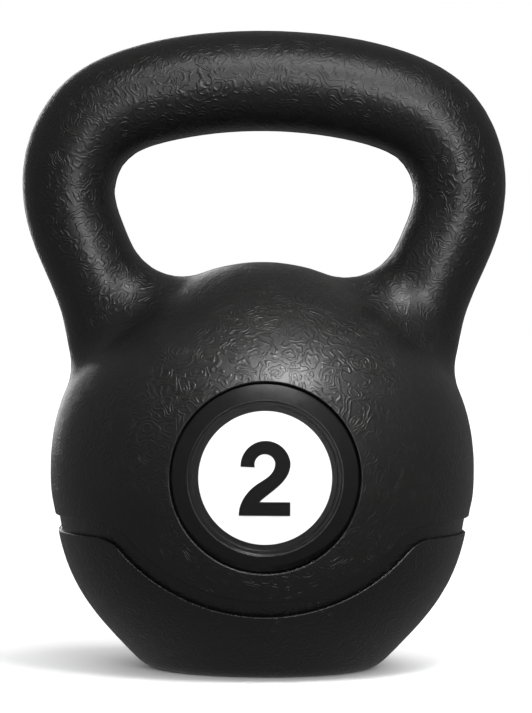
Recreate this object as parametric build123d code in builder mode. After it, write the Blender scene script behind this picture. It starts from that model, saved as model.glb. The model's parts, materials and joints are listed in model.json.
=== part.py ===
from build123d import *

import os
from math import hypot, sqrt

# A small filled kettlebell: one blow-moulded skin, ball and handle together, filled with a
# cement and sand mix through a plugged hole in its base, with a round badge on each face.
# Frame: +Z up, the origin at the centre of the flat base, the front badge facing -Y. Millimetres.

# ---- driving dimensions ------------------------------------------------------------------
WALL = 2.0  # thickness of the moulded skin

# ball: a profile turned about Z, fuller below its equator than above it
BALL_R = 60.0
EQUATOR_Z = 56.0
DOME_Z = 114.6  # top of the ball, inside the handle window
BASE_R = 29.0  # radius of the flat that it stands on
BOWL = [(36.8, 4.0), (49.0, 17.8), (57.2, 36.0), (59.05, 45.5)]  # points up to the equator
SHOULDER = [(45.0, 93.6), (18.6, 110.9), (12.8, 112.93), (6.5, 114.17)]  # and on to the dome

# handle: a round tube, symmetrical about X = 0; points of its centreline, from the bar's middle
BAR_Z = 166.0
CENTRELINE = [
    (0.0, BAR_Z),
    (30.2, 162.6),  # bar, drooping a little
    (47.6, 154.5),  # shoulder
    (55.45, 134.8),  # widest
    (52.65, 122.4),
    (46.7, 108.7),  # leg, leaning inwards
    (42.9, 97.5),
    (39.4, 79.0),  # root, inside the ball
]
ROOT_LEAN = 0.2  # how far inwards the centreline still leans at its root, per unit down
TUBE_RADII = [  # how far along the centreline from the bar's middle, and the tube's radius there
    (0.0, 14.1),
    (0.12, 14.12),
    (0.25, 14.1),
    (0.38, 14.0),
    (0.5, 13.3),
    (0.6, 12.75),
    (0.7, 12.65),
    (0.8, 12.8),
    (0.9, 13.4),
    (1.0, 14.3),
]
ROOT_BLEND = 16.0  # fillet where each leg grows out of the ball, outside
CORE_BLEND = 10.0  # and inside, where the skin is thicker
SEAM_Z = (82.0, 112.0)  # the seam between leg and ball lies between these heights
SEAM_X = 20.0  # and beyond this distance from the middle

# channel round the lower body, seen from the front: level at the sides, a round dip in front
CHANNEL_WIDTH = 4.4
CHANNEL_DEPTH = 1.1
CHANNEL_Z = 41.0  # centre of the level stretch
DIP_R = 51.4  # the dip's centreline radius
DIP_CENTRE_Z = 72.1
DIP_BLEND = 12.0  # where the dip runs out into the level stretch
CHANNEL_LIP = 0.4  # rounding of its two edges

# badge, turned about the line X = 0, Z = BADGE_Z; Y values are distances in front of the axis
BADGE_Z = 56.4
POCKET_R = 25.8
POCKET_Y = 51.0  # floor of the pocket
POCKET_LIP = 0.3  # rounding of its rim
RIM_TOLERANCE = 0.1  # how near to POCKET_R an edge is, to be part of the rim
CUP_GAP = 0.1  # between the cup and the pocket's wall
CUP_WALL_Y = 52.6
FLANK_R = 25.2  # the flank slopes like the ball, a little below it
FLANK_Y = 53.1
CREST_R = 21.1
CREST_Y = 54.8
LEDGE_R = 20.5
LEDGE_Y = 53.9
SEAT_R = 19.4
SEAT_Y = 53.1
SEAT_BEVEL = 0.4
LABEL_R = 18.0
LABEL_T = 0.3
PRINT_T = 0.1

# numeral two, as X and Z from the badge's centre: a round bowl, a slanting neck and a foot
TWO_OUTSIDE = [(-6.65, 3.0), (0.05, 10.0), (6.8, 4.0)]  # bowl: open end, top and right
TWO_INSIDE = [(-2.77, 2.8), (0.0, 6.4), (2.66, 4.0)]
TWO_NECK_RIGHT = [(5.8, 0.4), (3.6, -2.2)]  # down the neck's right edge
TWO_CROOK = (-1.5, -6.5)  # where that edge meets the foot
TWO_NECK_LEFT = [(-5.7, -5.4), (-2.8, -2.15), (1.85, 1.45)]  # up its left edge
TWO_LEFT = -7.05
TWO_RIGHT = 6.8
TWO_FOOT = -10.2

# fill hole in the base, and its plug
HOLE_R = 10.0
FLANGE_R = 12.5
FLANGE_T = 0.8
PLUG_RECESS = 0.2
PLUG_TOP = 7.0
PLUG_WALL = 1.6
BARB = 0.4  # ridge that catches behind the skin
PLUG_GAP = 0.2  # between the barb and the fill

REACH = 75.0  # past the body on every side


def moved_in(curve, inset, tangents, steps=16):
    """A profile curve that runs up the outside of the ball, moved in by inset."""
    if inset == 0:
        return curve
    points = []
    for step in range(steps + 1):
        place = curve @ (step / steps)
        along = curve % (step / steps)
        points.append((place.X - inset * along.Y, place.Y + inset * along.X))
    return Spline(*points, tangents=tangents, mode=Mode.PRIVATE)


def ball_face(inset):
    """The ball's half profile in YZ, with its wall moved in by inset."""
    out, up, back = (1, 0), (0, 1), (-1, 0)
    equator = (BALL_R, EQUATOR_Z)
    with BuildSketch(Plane.YZ) as face:
        with BuildLine():
            bowl = Spline((BASE_R, 0), *BOWL, equator, tangents=[out, up], mode=Mode.PRIVATE)
            dome = Spline(equator, *SHOULDER, (0, DOME_Z), tangents=[up, back], mode=Mode.PRIVATE)
            low = moved_in(bowl, inset, [out, up])
            high = moved_in(dome, inset, [up, back])
            add([low, high])
            Polyline(high @ 1, (0, inset), low @ 0)
        make_face()
    return face.sketch


def ball_solid(inset):
    """The ball alone, with its wall moved in by inset."""
    with BuildPart() as whole:
        add(ball_face(inset))
        revolve(axis=Axis.Z)
    return whole.part


def handle_tube(inset):
    """The handle from root to root, with its wall moved in by inset."""
    mirrored = [(-x, z) for x, z in CENTRELINE[:0:-1]]
    with BuildLine(Plane.XZ) as route:
        Spline(*mirrored, *CENTRELINE, tangents=[(-ROOT_LEAN, 1), (-ROOT_LEAN, -1)])
    centreline = route.edges()[0]
    left = [(0.5 - share / 2, radius) for share, radius in TUBE_RADII[:0:-1]]
    right = [(0.5 + share / 2, radius) for share, radius in TUBE_RADII]
    with BuildPart() as tube:
        for along, radius in left + right:
            across = Plane(centreline @ along, x_dir=(0, 1, 0), z_dir=centreline % along)
            with BuildSketch(across):
                Circle(radius - inset)
        loft()
    return tube.part


def solid_body(inset, blend):
    """Ball and handle as one solid, with every wall moved in by inset."""
    with BuildPart() as body:
        add(ball_solid(inset))
        add(handle_tube(inset))
        split(bisect_by=Plane.YZ, keep=Keep.TOP)
        root = body.edges().filter_by(
            lambda e: e.center().X > SEAM_X and SEAM_Z[0] < e.center().Z < SEAM_Z[1]
        )
        fillet(root, blend)
        mirror(about=Plane.YZ)
    return body.part


def badge_discs(radius, y_inner, y_outer):
    """Two round discs on the badges' line, one in front of the body and one behind it."""
    with BuildPart() as discs:
        with BuildSketch(Plane.XZ.offset(y_inner)):
            with Locations((0, BADGE_Z)):
                Circle(radius)
        extrude(amount=y_outer - y_inner)
        mirror(about=Plane.XZ)
    return discs.part


# ---- channel cutter ----------------------------------------------------------------------
dip_end = sqrt(DIP_R**2 - (DIP_CENTRE_Z - CHANNEL_Z) ** 2)
with BuildPart() as channel:
    with BuildSketch(Plane.XZ):
        with BuildLine() as middle:
            Line((-REACH, CHANNEL_Z), (-dip_end, CHANNEL_Z))
            ThreePointArc(
                (-dip_end, CHANNEL_Z), (0, DIP_CENTRE_Z - DIP_R), (dip_end, CHANNEL_Z)
            )
            Line((dip_end, CHANNEL_Z), (REACH, CHANNEL_Z))
            fillet(middle.vertices().filter_by(lambda v: abs(v.X) < REACH - 1), DIP_BLEND)
        trace(line_width=CHANNEL_WIDTH)
    extrude(amount=REACH, both=True)
    add(ball_solid(CHANNEL_DEPTH), mode=Mode.SUBTRACT)

# ---- what fills the skin -----------------------------------------------------------------
with BuildPart() as filling:
    add(solid_body(WALL, CORE_BLEND))
    add(badge_discs(POCKET_R + WALL, POCKET_Y - WALL, REACH), mode=Mode.SUBTRACT)

with BuildPart() as core_fill:
    add(filling.part)
    Cylinder(
        HOLE_R + BARB + PLUG_GAP,
        PLUG_TOP,
        align=(Align.CENTER, Align.CENTER, Align.MIN),
        mode=Mode.SUBTRACT,
    )

# ---- skin --------------------------------------------------------------------------------
halfway_down = ball_solid(CHANNEL_DEPTH / 2)


def on_a_lip(edge):
    """Whether an edge that the channel cut is one of its outer edges, along its run."""
    middle = edge @ 0.5
    return edge.length > CHANNEL_WIDTH and middle.X != 0 and not halfway_down.is_inside(middle)


def on_a_rim(edge):
    """Whether an edge is where a pocket's wall meets the ball."""
    middle = edge @ 0.5
    from_line = hypot(middle.X, middle.Z - BADGE_Z)
    return edge.geom_type == GeomType.BSPLINE and abs(from_line - POCKET_R) < RIM_TOLERANCE


with BuildPart() as shell:
    add(solid_body(0.0, ROOT_BLEND))
    add(badge_discs(POCKET_R, POCKET_Y, REACH), mode=Mode.SUBTRACT)
    fillet(shell.edges(Select.LAST).filter_by(on_a_rim), POCKET_LIP)
    add(channel.part, mode=Mode.SUBTRACT)
    fillet(shell.edges(Select.LAST).filter_by(on_a_lip), CHANNEL_LIP)
    add(filling.part, mode=Mode.SUBTRACT)
    with BuildSketch(Plane.XY):
        Circle(FLANGE_R)
    extrude(amount=PLUG_RECESS + FLANGE_T, mode=Mode.SUBTRACT)
    with BuildSketch(Plane.XY):
        Circle(HOLE_R)
    extrude(amount=PLUG_TOP, mode=Mode.SUBTRACT)

# ---- plug in the fill hole ---------------------------------------------------------------
with BuildPart() as base_plug:
    with BuildSketch(Plane.XZ):
        with BuildLine():
            Polyline(
                (0, PLUG_RECESS),
                (FLANGE_R, PLUG_RECESS),
                (FLANGE_R, PLUG_RECESS + FLANGE_T),
                (HOLE_R, PLUG_RECESS + FLANGE_T),
                (HOLE_R, WALL),
                (HOLE_R + BARB, WALL),
                (HOLE_R - BARB, PLUG_TOP),
                (HOLE_R - PLUG_WALL, PLUG_TOP),
                (HOLE_R - PLUG_WALL, PLUG_RECESS + PLUG_WALL),
                (0, PLUG_RECESS + PLUG_WALL),
                close=True,
            )
        make_face()
    revolve(axis=Axis.Z)

# ---- badge: stepped cup, disc and numeral ------------------------------------------------
badge_line = Axis((0, 0, BADGE_Z), (0, 1, 0))
with BuildPart() as front_bezel:
    with BuildSketch(Plane.XY.offset(BADGE_Z)):
        with BuildLine():
            Polyline(
                (CREST_R, -CREST_Y),
                (LEDGE_R, -LEDGE_Y),
                (SEAT_R + SEAT_BEVEL, -LEDGE_Y),
                (SEAT_R, -LEDGE_Y + SEAT_BEVEL),
                (SEAT_R, -SEAT_Y),
                (0, -SEAT_Y),
                (0, -POCKET_Y),
                (POCKET_R - CUP_GAP, -POCKET_Y),
                (POCKET_R - CUP_GAP, -CUP_WALL_Y),
                (FLANK_R, -FLANK_Y),
            )
            RadiusArc((FLANK_R, -FLANK_Y), (CREST_R, -CREST_Y), BALL_R)
        make_face()
    revolve(axis=badge_line)

with BuildPart() as front_label:
    with BuildSketch(Plane.XZ.offset(SEAT_Y)):
        with Locations((0, BADGE_Z)):
            Circle(LABEL_R)
    extrude(amount=LABEL_T)

badge_face = Plane((0, -SEAT_Y - LABEL_T, BADGE_Z), x_dir=(1, 0, 0), z_dir=(0, -1, 0))
with BuildPart() as front_numeral:
    with BuildSketch(badge_face):
        with BuildLine():
            ThreePointArc(*TWO_OUTSIDE)
            Spline(TWO_OUTSIDE[-1], *TWO_NECK_RIGHT, TWO_CROOK)
            Polyline(
                TWO_CROOK,
                (TWO_RIGHT, TWO_CROOK[1]),
                (TWO_RIGHT, TWO_FOOT),
                (TWO_LEFT, TWO_FOOT),
            )
            Spline((TWO_LEFT, TWO_FOOT), *TWO_NECK_LEFT, TWO_INSIDE[-1])
            ThreePointArc(*TWO_INSIDE)
            Line(TWO_INSIDE[0], TWO_OUTSIDE[0])
        make_face()
    extrude(amount=PRINT_T)

with BuildPart() as back_bezel:
    add(front_bezel.part, rotation=(0, 0, 180))

with BuildPart() as back_label:
    add(front_label.part, rotation=(0, 0, 180))

with BuildPart() as back_numeral:
    add(front_numeral.part, rotation=(0, 0, 180))

# ---- files -------------------------------------------------------------------------------
os.makedirs("parts", exist_ok=True)

shell.part.label = "shell"
export_step(shell.part, "parts/shell.step")

core_fill.part.label = "core_fill"
export_step(core_fill.part, "parts/core_fill.step")

base_plug.part.label = "base_plug"
export_step(base_plug.part, "parts/base_plug.step")

front_bezel.part.label = "front_bezel"
export_step(front_bezel.part, "parts/front_bezel.step")

front_label.part.label = "front_label"
export_step(front_label.part, "parts/front_label.step")

front_numeral.part.label = "front_numeral"
export_step(front_numeral.part, "parts/front_numeral.step")

back_bezel.part.label = "back_bezel"
export_step(back_bezel.part, "parts/back_bezel.step")

back_label.part.label = "back_label"
export_step(back_label.part, "parts/back_label.step")

back_numeral.part.label = "back_numeral"
export_step(back_numeral.part, "parts/back_numeral.step")
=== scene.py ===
import json
from math import pi, radians

import bmesh
import bpy
from mathutils import Matrix, Vector
from mathutils.bvhtree import BVHTree

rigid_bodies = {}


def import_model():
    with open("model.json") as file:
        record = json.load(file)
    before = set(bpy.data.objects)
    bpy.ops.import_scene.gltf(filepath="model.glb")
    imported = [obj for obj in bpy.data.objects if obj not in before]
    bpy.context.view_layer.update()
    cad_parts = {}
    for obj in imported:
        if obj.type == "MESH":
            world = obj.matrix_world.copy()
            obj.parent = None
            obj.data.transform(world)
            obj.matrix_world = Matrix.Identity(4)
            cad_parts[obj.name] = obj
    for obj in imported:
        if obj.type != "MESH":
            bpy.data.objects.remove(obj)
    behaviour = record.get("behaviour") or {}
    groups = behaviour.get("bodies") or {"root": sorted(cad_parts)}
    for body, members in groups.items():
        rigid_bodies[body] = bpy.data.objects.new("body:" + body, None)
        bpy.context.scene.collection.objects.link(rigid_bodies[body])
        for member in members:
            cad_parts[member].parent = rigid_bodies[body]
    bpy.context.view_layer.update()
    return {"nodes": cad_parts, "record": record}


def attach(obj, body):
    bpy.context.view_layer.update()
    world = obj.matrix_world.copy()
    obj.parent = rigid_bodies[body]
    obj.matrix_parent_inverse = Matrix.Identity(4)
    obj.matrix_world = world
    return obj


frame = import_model()
scene = bpy.context.scene
MM = 0.001

# ---- details of the skin -----------------------------------------------------------------
# grain: curls nested in whorls
CURL_GAP = 1.05  # between neighbouring curls, in millimetres
WHORL = 6.0  # across a nest of curls, in millimetres
GRAIN_DEPTH = 0.09 * MM
PORE_DEPTH = 0.02 * MM

# parting line that the two mould halves leave: a fine ridge
SEAM_WIDTH = 0.55 * MM
SEAM_HEIGHT = 0.13 * MM
SEAM_STEP = 1.2 * MM  # between the sections of the ridge
SEAM_FOOT = 1.5 * MM  # the ridge stops this far above the floor
SEAM_POINTS = 20  # a cut with fewer points than this is a scrap, not part of the outline
SKIN_AT_LEAST = 0.5 * MM  # the skin's outside is everywhere further than this from the fill

# ---- studio ------------------------------------------------------------------------------
ROOM_LIGHT = 0.20  # how bright the room is that the object reflects
# name, place, aim, size, power and spread of each softbox, in metres, watts and degrees
SOFTBOXES = [
    ("front", (0.20, -0.85, 0.25), (0, 0, 0.12), (0.30, 0.30), 3.0, 180),
    ("above", (0.03, -0.23, 0.38), (0, -0.02, 0.13), (0.20, 0.12), 0.36, 180),
    ("on_dome", (0.05, -0.15, 0.27), (0.008, -0.055, 0.085), (0.10, 0.06), 0.023, 34),
]
BEHIND = ("behind", (-0.25, 0.85, 0.25), (0, 0, 0.10), (0.40, 0.40), 1.4, 180)  # off the floor
# name, direction, spread in degrees and power of each light that falls on the floor alone
FLOOR_LIGHTS = [
    ("floor_wash", (0, 0, 1), 170, 2.5),
    ("floor_key", (0.5, -0.1, 1), 40, 1.3),
]
FLOOR_R = 6.0

# ---- camera ------------------------------------------------------------------------------
EYE = Vector((-0.0145, -0.9999, 0.110))
LOOK = Vector((0.0008, 0.0, 0.0879))
ROLL = radians(0.4)
LENS = 118.6  # focal length for a picture 24 mm high, both in millimetres
PICTURE_HEIGHT = 24.0


# ---- node helpers ------------------------------------------------------------------------
MIX_COLOUR_A, MIX_COLOUR_B = 6, 7  # a Mix node's colour inputs
MIX_COLOUR = 2  # and its colour output


class Graph:
    """A material's node tree, with short calls for the nodes that this scene uses."""

    def __init__(self, name, specular=0.5):
        self.material = bpy.data.materials.new(name)
        self.material.use_nodes = True
        self.tree = self.material.node_tree
        self.shader = self.tree.nodes["Principled BSDF"]
        self.set("Metallic", 0.0)
        self.set("Coat Weight", 0.0)
        self.set("Specular IOR Level", specular)
        self.place = self.node("ShaderNodeTexCoord").outputs["Object"]

    def node(self, kind, **settings):
        made = self.tree.nodes.new(kind)
        for key, value in settings.items():
            setattr(made, key, value)
        return made

    def set(self, socket, value):
        self.shader.inputs[socket].default_value = value

    def feed(self, source, socket):
        """Joins an output to a socket, or sets the socket to a number."""
        if hasattr(source, "links"):
            self.tree.links.new(source, socket)
        else:
            socket.default_value = source
        return socket

    def math(self, operation, a, b=0.0):
        made = self.node("ShaderNodeMath", operation=operation)
        self.feed(a, made.inputs[0])
        self.feed(b, made.inputs[1])
        return made.outputs[0]

    def noise(self, size, detail=2.0, rough=0.5, warp=0.0, place=None):
        """Noise whose blobs are about size metres across; the value is about 0.5."""
        made = self.node("ShaderNodeTexNoise")
        self.feed(place or self.place, made.inputs["Vector"])
        made.inputs["Scale"].default_value = 1 / size
        made.inputs["Detail"].default_value = detail
        made.inputs["Roughness"].default_value = rough
        made.inputs["Distortion"].default_value = warp
        return made.outputs[0]

    def warped(self, size, reach):
        """The surface's place, moved about by up to half of reach, over blobs of size metres."""
        made = self.node("ShaderNodeTexNoise")
        self.feed(self.place, made.inputs["Vector"])
        made.inputs["Scale"].default_value = 1 / size
        made.inputs["Detail"].default_value = 1.0
        aside = self.node("ShaderNodeVectorMath", operation="MULTIPLY_ADD")
        self.feed(made.outputs["Color"], aside.inputs[0])
        aside.inputs[1].default_value = (2 * reach, 2 * reach, 2 * reach)
        self.feed(self.place, aside.inputs[2])
        return aside.outputs[0]

    def span(self, value, low, high, to_low=0.0, to_high=1.0, smooth=False):
        """Takes low..high to to_low..to_high, and holds the value at its ends."""
        made = self.node("ShaderNodeMapRange", clamp=True)
        if smooth:
            made.interpolation_type = "SMOOTHSTEP"
        for socket, source in zip(made.inputs, (value, low, high, to_low, to_high)):
            self.feed(source, socket)
        return made.outputs[0]

    def mix(self, factor, a, b):
        """Colour a where factor is 0, and b where it is 1."""
        made = self.node("ShaderNodeMix", data_type="RGBA")
        self.feed(factor, made.inputs["Factor"])
        self.feed(a, made.inputs[MIX_COLOUR_A])
        self.feed(b, made.inputs[MIX_COLOUR_B])
        return made.outputs[MIX_COLOUR]

    def bump(self, height, depth, before=None):
        """Relief of depth metres where height runs from 0 to 1."""
        made = self.node("ShaderNodeBump")
        made.inputs["Strength"].default_value = 1.0
        made.inputs["Distance"].default_value = depth
        self.feed(height, made.inputs["Height"])
        if before is not None:
            self.feed(before, made.inputs["Normal"])
        return made.outputs[0]


def grey(value, warmth=0.0):
    """A grey, a little redder and less blue with warmth."""
    return (value * (1 + warmth), value, value * (1 - warmth), 1.0)


# ---- materials ---------------------------------------------------------------------------
def skin_material():
    """Moulded black polyethylene with a worm-like grain: nested curls about 1 mm apart."""
    g = Graph("moulded_skin")
    place = g.warped(4.5 * MM, 3.2 * MM)
    cells = g.node("ShaderNodeTexVoronoi", feature="SMOOTH_F1")
    cells.inputs["Scale"].default_value = 1 / (WHORL * MM)
    cells.inputs["Smoothness"].default_value = 0.25
    g.feed(place, cells.inputs["Vector"])
    turns = g.math("MULTIPLY", cells.outputs["Distance"], 2 * pi * WHORL / CURL_GAP)
    rings = g.math("SINE", turns)
    ridge = g.span(rings, -0.3, 1.0, smooth=True)
    # the grain is fainter in places, and its curls are broken into short lengths
    patchy = g.span(g.noise(20 * MM, detail=1.0), 0.35, 0.6, 0.45, 1.0)
    broken = g.span(g.noise(2.4 * MM, detail=1.0), 0.34, 0.46)
    relief = g.math("MULTIPLY", ridge, g.math("MULTIPLY", patchy, broken))
    pores = g.bump(g.noise(0.5 * MM, detail=2.0, rough=0.6), PORE_DEPTH)
    g.feed(g.bump(relief, GRAIN_DEPTH, pores), g.shader.inputs["Normal"])
    g.feed(
        g.mix(g.noise(17 * MM, detail=3.0), grey(0.0040, 0.05), grey(0.0075, 0.03)),
        g.shader.inputs["Base Color"],
    )
    # the tops of the curls are rubbed smoother
    worn = g.math("ADD", relief, g.noise(2.6 * MM))
    g.feed(g.span(worn, 0.2, 1.4, 0.42, 0.32), g.shader.inputs["Roughness"])
    return g.material


def ring_material():
    """Smooth glossy black plastic of the badge cup, with faint moulding waviness."""
    g = Graph("badge_ring")
    g.feed(g.bump(g.noise(4 * MM, detail=1.0), 0.02 * MM), g.shader.inputs["Normal"])
    g.feed(
        g.mix(g.noise(6 * MM, detail=2.0), grey(0.003), grey(0.005)),
        g.shader.inputs["Base Color"],
    )
    g.feed(
        g.span(g.noise(1.4 * MM, detail=3.0), 0.3, 0.7, 0.19, 0.25), g.shader.inputs["Roughness"]
    )
    return g.material


def label_material():
    """White satin film, very slightly mottled."""
    g = Graph("badge_white")
    g.feed(g.bump(g.noise(0.9 * MM, detail=2.0), 0.012 * MM), g.shader.inputs["Normal"])
    g.feed(
        g.mix(g.noise(9 * MM, detail=3.0), grey(0.90), grey(0.955, 0.003)),
        g.shader.inputs["Base Color"],
    )
    g.feed(
        g.span(g.noise(3 * MM, detail=2.0), 0.3, 0.7, 0.33, 0.42), g.shader.inputs["Roughness"]
    )
    return g.material


def print_material():
    """Black ink with a little tooth."""
    g = Graph("badge_print", specular=0.1)
    g.feed(g.bump(g.noise(0.4 * MM, detail=2.0), 0.01 * MM), g.shader.inputs["Normal"])
    g.feed(
        g.mix(g.noise(2.5 * MM, detail=2.0), grey(0.004), grey(0.006)),
        g.shader.inputs["Base Color"],
    )
    g.feed(
        g.span(g.noise(1.5 * MM, detail=2.0), 0.3, 0.7, 0.38, 0.46), g.shader.inputs["Roughness"]
    )
    return g.material


def plug_material():
    """Plain black plug plastic with scuffs from standing on floors."""
    g = Graph("plug_plastic")
    scuff = g.span(g.noise(2.2 * MM, detail=5.0, rough=0.7, warp=1.5), 0.52, 0.68)
    g.feed(g.bump(g.noise(0.6 * MM, detail=3.0), 0.03 * MM), g.shader.inputs["Normal"])
    g.feed(g.mix(scuff, grey(0.011), grey(0.026, 0.04)), g.shader.inputs["Base Color"])
    g.feed(g.span(scuff, 0.0, 1.0, 0.5, 0.65), g.shader.inputs["Roughness"])
    return g.material


def cement_material():
    """Pale cement with darker sand grains and pits."""
    g = Graph("cement_mix")
    grain = g.noise(0.8 * MM, detail=6.0, rough=0.7)
    cloud = g.noise(14 * MM, detail=4.0)
    tint = g.mix(cloud, grey(0.30, 0.05), grey(0.44, 0.04))
    g.feed(
        g.mix(g.span(grain, 0.55, 0.68), tint, grey(0.16, 0.08)), g.shader.inputs["Base Color"]
    )
    g.feed(g.bump(grain, 0.3 * MM), g.shader.inputs["Normal"])
    g.feed(g.span(grain, 0.3, 0.7, 0.82, 0.96), g.shader.inputs["Roughness"])
    return g.material


MADE = {
    "moulded_skin": skin_material(),
    "cement_mix": cement_material(),
    "plug_plastic": plug_material(),
    "badge_ring": ring_material(),
    "badge_white": label_material(),
    "badge_print": print_material(),
}
for part in frame["record"]["subparts"]:
    node = frame["nodes"][part["node"]]
    node.data.materials.clear()
    node.data.materials.append(MADE[part["material_slot"]])


# ---- parting line ------------------------------------------------------------------------
def skin_outline():
    """Chains of points where the plane Y = 0 cuts the outside of the skin."""
    core = bmesh.new()
    core.from_mesh(frame["nodes"]["core_fill"].data)
    inside = BVHTree.FromBMesh(core)
    skin = bmesh.new()
    skin.from_mesh(frame["nodes"]["shell"].data)
    bmesh.ops.remove_doubles(skin, verts=skin.verts, dist=0.001 * MM)
    everything = skin.verts[:] + skin.edges[:] + skin.faces[:]
    cut = bmesh.ops.bisect_plane(skin, geom=everything, plane_co=(0, 0, 0), plane_no=(0, 1, 0))
    beside = {}
    for edge in cut["geom_cut"]:
        if isinstance(edge, bmesh.types.BMEdge):
            ends = edge.verts
            middle = (ends[0].co + ends[1].co) / 2
            outer = inside.find_nearest(middle)[3] > SKIN_AT_LEAST and middle.z > SEAM_FOOT
            if outer:
                beside.setdefault(ends[0], []).append(ends[1])
                beside.setdefault(ends[1], []).append(ends[0])
    chains = []
    while beside:
        start = min(beside, key=lambda v: (len(beside[v]), v.co.z))
        chain = [start]
        while True:
            onward = [v for v in beside.pop(chain[-1]) if v in beside]
            if not onward:
                break
            chain.append(onward[0])
        chains.append([v.co.copy() for v in chain])
    core.free()
    skin.free()
    return [chain for chain in chains if len(chain) > SEAM_POINTS]


def evenly(points, step, closed):
    """The same line with points about step apart."""
    line = points + [points[0]] if closed else points
    picked = [line[0]]
    for point in line[1:]:
        while (point - picked[-1]).length > step:
            picked.append(picked[-1] + (point - picked[-1]).normalized() * step)
    return picked[:-1] if closed else picked


def ridge_mesh(name, points, closed):
    """A low rounded ridge along points in the plane Y = 0, half sunk into the skin."""
    # across the seam and out of the skin, as shares of the ridge's width and height
    section = [(-0.5, -0.6), (-0.32, 0.55), (0, 1), (0.32, 0.55), (0.5, -0.6), (0, -1)]
    made = bmesh.new()
    rows = []
    count = len(points)
    for i, point in enumerate(points):
        before = points[i - 1] if closed or i else point
        after = points[(i + 1) % count] if closed or i + 1 < count else point
        along = (after - before).normalized()
        out = Vector((along.z, 0, -along.x))
        rows.append(
            [
                made.verts.new(point + Vector((0, y * SEAM_WIDTH, 0)) + out * (h * SEAM_HEIGHT))
                for y, h in section
            ]
        )
    pairs = list(zip(rows, rows[1:] + rows[:1])) if closed else list(zip(rows, rows[1:]))
    for here, there in pairs:
        for k in range(len(section)):
            m = (k + 1) % len(section)
            made.faces.new((here[k], here[m], there[m], there[k]))
    if not closed:
        made.faces.new(rows[0][::-1])
        made.faces.new(rows[-1])
    bmesh.ops.recalc_face_normals(made, faces=made.faces)
    mesh = bpy.data.meshes.new(name)
    made.to_mesh(mesh)
    made.free()
    for face in mesh.polygons:
        face.use_smooth = True
    return mesh


for number, chain in enumerate(skin_outline()):
    closed = (chain[0] - chain[-1]).length < 2 * SEAM_STEP
    name = f"parting_line_{number}"
    mesh = ridge_mesh(name, evenly(chain, SEAM_STEP, closed), closed)
    ridge = bpy.data.objects.new(name, mesh)
    scene.collection.objects.link(ridge)
    ridge.data.materials.append(MADE["moulded_skin"])
    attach(ridge, "root")


# ---- floor and studio light --------------------------------------------------------------
def floor_material():
    """Pale matt paint, very slightly uneven."""
    g = Graph("floor_paint")
    g.set("Roughness", 0.8)
    g.feed(
        g.mix(g.noise(0.12, detail=2.0), grey(0.93), grey(0.95)), g.shader.inputs["Base Color"]
    )
    return g.material


bpy.ops.mesh.primitive_circle_add(vertices=96, radius=FLOOR_R, fill_type="NGON")
floor = bpy.context.object
floor.name = "floor"
floor.data.materials.append(floor_material())
floor.visible_glossy = False  # the pale floor doesn't wash out the black plastic
floor.visible_diffuse = False
floor_only = bpy.data.collections.new("floor_only")
floor_only.objects.link(floor)
bell_only = bpy.data.collections.new("bell_only")
for piece in scene.objects:
    if piece.type == "MESH" and piece != floor:
        bell_only.objects.link(piece)

world = bpy.data.worlds.new("studio")
world.use_nodes = True
scene.world = world
links = world.node_tree.links
backdrop = world.node_tree.nodes["Background"]
backdrop.inputs["Color"].default_value = grey(1.0)
seen = world.node_tree.nodes.new("ShaderNodeLightPath")
level = world.node_tree.nodes.new("ShaderNodeMapRange")
links.new(seen.outputs["Is Camera Ray"], level.inputs["Value"])
level.inputs["To Min"].default_value = ROOM_LIGHT
level.inputs["To Max"].default_value = 1.0
links.new(level.outputs[0], backdrop.inputs["Strength"])


def lamp(kind, name, place, aim, power):
    """A light of a kind at place, facing aim."""
    data = bpy.data.lights.new(name, kind)
    data.energy = power
    made = bpy.data.objects.new(name, data)
    scene.collection.objects.link(made)
    made.location = place
    made.rotation_euler = (Vector(aim) - Vector(place)).to_track_quat("-Z", "Y").to_euler()
    return made


def softbox(name, place, aim, size, power, spread):
    """An oblong lamp; a spread under 180 is a grid that narrows its beam."""
    made = lamp("AREA", name, place, aim, power)
    made.data.spread = radians(spread)
    made.data.shape = "RECTANGLE"
    made.data.size, made.data.size_y = size
    return made


def floor_wash(name, place, spread, power):
    """Broad light that falls on the floor alone, so that the object leaves a soft shadow."""
    made = lamp("SUN", name, place, (0, 0, 0), power)
    made.data.angle = radians(spread)
    made.light_linking.receiver_collection = floor_only


for row in SOFTBOXES:
    softbox(*row)
softbox(*BEHIND).light_linking.receiver_collection = bell_only
for row in FLOOR_LIGHTS:
    floor_wash(*row)

camera_data = bpy.data.cameras.new("camera")
camera_data.sensor_fit = "VERTICAL"
camera_data.sensor_height = PICTURE_HEIGHT
camera_data.lens = LENS
camera = bpy.data.objects.new("camera", camera_data)
scene.collection.objects.link(camera)
camera.matrix_world = (
    Matrix.Translation(EYE)
    @ (LOOK - EYE).to_track_quat("-Z", "Y").to_matrix().to_4x4()
    @ Matrix.Rotation(ROLL, 4, "Z")
)
scene.camera = camera
scene.view_settings.view_transform = "Standard"
